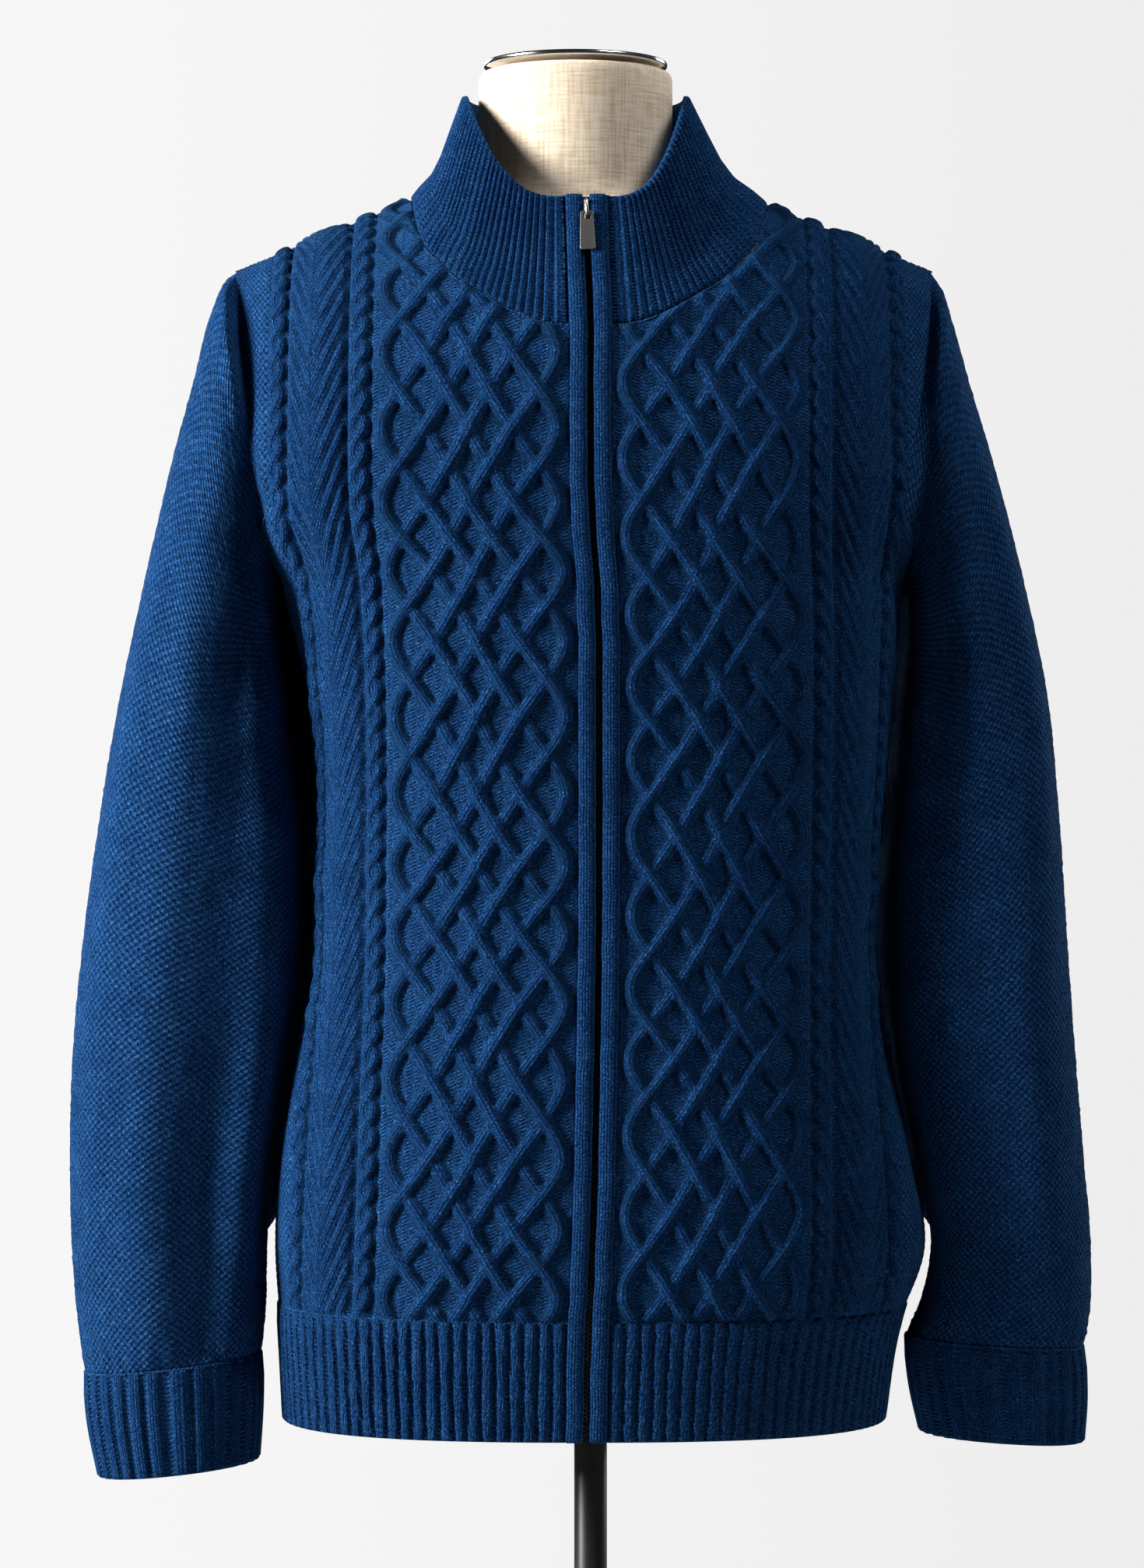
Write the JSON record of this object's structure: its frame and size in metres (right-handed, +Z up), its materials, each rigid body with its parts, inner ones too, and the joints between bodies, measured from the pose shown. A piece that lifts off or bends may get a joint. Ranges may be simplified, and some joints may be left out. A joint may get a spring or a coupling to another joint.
{
  "type": "zip cardigan on dress form",
  "caption": "Long-sleeved cable-knit cardigan with a stand collar and front zip, filled out on a limbless dress form that stands on a pole and round base.",
  "frame": {"origin": "on the floor under the middle of the garment, on the flat underside of the stand's base", "axes": "+Z up, the front of the cardigan faces -Y, +X towards the wearer's left"},
  "size_m": [0.609, 0.3282, 1.5521],
  "materials": {
    "navy_wool": "heathered lambswool knit, matt with a short nap",
    "zip_tape": "matt",
    "gunmetal": "satin plated",
    "linen": "plain woven linen",
    "chrome": "polished",
    "black_paint": "semi-gloss"
  },
  "bodies": {
    "cardigan_on_form": {"front_left": "navy_wool", "front_right": "navy_wool", "back": "navy_wool", "hem_rib_left": "navy_wool", "hem_rib_right": "navy_wool", "hem_rib_back": "navy_wool", "sleeve_left": "navy_wool", "sleeve_right": "navy_wool", "cuff_left": "navy_wool", "cuff_right": "navy_wool", "collar": "navy_wool", "edge_band_left": "navy_wool", "edge_band_right": "navy_wool", "zip_chain": "zip_tape", "zip_slider": "gunmetal", "form_torso": "linen", "neck_cap": "chrome", "stand_pole": "black_paint", "stand_base": "black_paint"},
    "zip_pull": {"pull_tab": "gunmetal"}
  },
  "joints": [
    {"name": "pull_tab_swing", "type": "hinge", "parent": "cardigan_on_form", "child": "zip_pull", "pos_m": [0.0014, -0.096, 1.45082], "axis": [-0.9995, -0.0087, -0.0295], "range_deg": [0, 125]}
  ]
}
